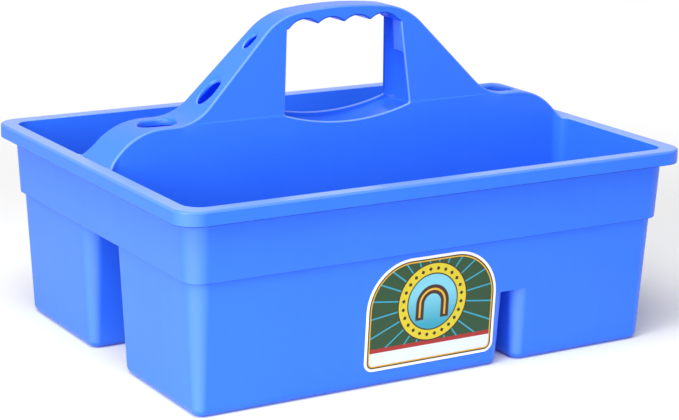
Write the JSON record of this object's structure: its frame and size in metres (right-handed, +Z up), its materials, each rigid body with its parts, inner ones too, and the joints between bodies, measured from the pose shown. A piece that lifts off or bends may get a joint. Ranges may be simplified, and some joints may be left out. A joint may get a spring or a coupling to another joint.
{
  "type": "horse grooming box",
  "caption": "Open moulded carry box with two deep bins either side of a hollow divider that rises into a hand grip; a slot below lets it straddle a rail.",
  "frame": {"origin": "middle of the box on the floor it stands on", "axes": "+X along the divider and the grip, +Y from the front bin to the rear bin, +Z up"},
  "size_m": [0.52, 0.4, 0.31],
  "materials": {
    "moulding": "satin moulded polyethylene, light blue",
    "label": "printed self-adhesive film"
  },
  "bodies": {
    "root": {"rim": "moulding", "collar": "moulding", "front_bin": "moulding", "partition_cap": "moulding", "left_pocket": "moulding", "right_pocket": "moulding", "rear_left": "moulding", "rear_right": "moulding", "rear_floor": "moulding", "divider_front": "moulding", "divider_rear": "moulding", "left_shelf": "moulding", "right_shelf": "moulding", "left_post": "moulding", "right_post": "moulding", "sill": "moulding", "grip": "moulding", "label": "label"}
  },
  "joints": []
}
